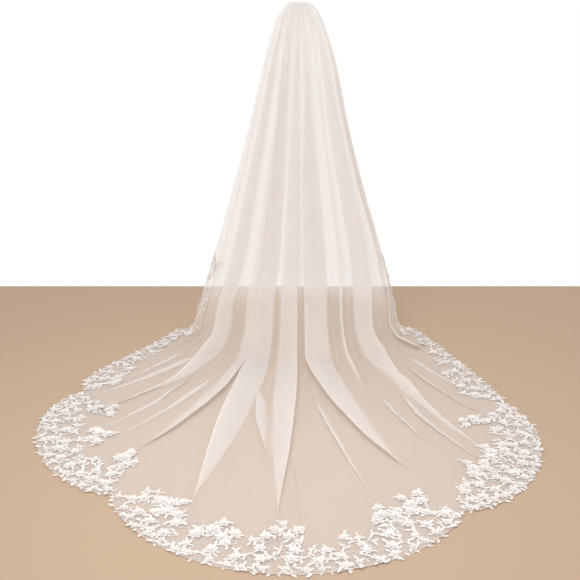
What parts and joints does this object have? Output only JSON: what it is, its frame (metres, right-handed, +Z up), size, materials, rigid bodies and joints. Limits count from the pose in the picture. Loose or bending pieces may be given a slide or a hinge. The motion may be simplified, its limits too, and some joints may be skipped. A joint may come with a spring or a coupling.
{
  "type": "bridal veil",
  "caption": "Long ivory tulle bridal veil gathered on a hair comb, falling from the crown in soft folds to a scalloped train edged with white floral lace.",
  "frame": {"origin": "middle of the hair comb's spine, where the veil is held on the head", "axes": "+X to the right as seen from behind the wearer, +Y the way the wearer faces, +Z up; the train runs out along -Y on a floor 1.68 m below the origin"},
  "size_m": [2.1574, 2.1047, 1.6996],
  "materials": {
    "tulle": "sheer soft net",
    "satin": "satin tape",
    "lace": "matt corded lace",
    "comb_metal": "bright wire"
  },
  "bodies": {
    "root": {"tulle_panel": "tulle", "header_band": "satin", "comb": "comb_metal", "lace_spray_1_1": "lace", "lace_spray_1_2": "lace", "lace_spray_2_1": "lace", "lace_spray_2_2": "lace", "lace_spray_2_3": "lace", "lace_spray_3_1": "lace", "lace_spray_3_2": "lace", "lace_spray_3_3": "lace", "lace_spray_3_4": "lace", "lace_spray_4_1": "lace", "lace_spray_4_2": "lace", "lace_spray_4_3": "lace", "lace_spray_5_1": "lace", "lace_spray_5_2": "lace", "lace_edge_left": "lace", "lace_edge_right": "lace"}
  },
  "joints": []
}
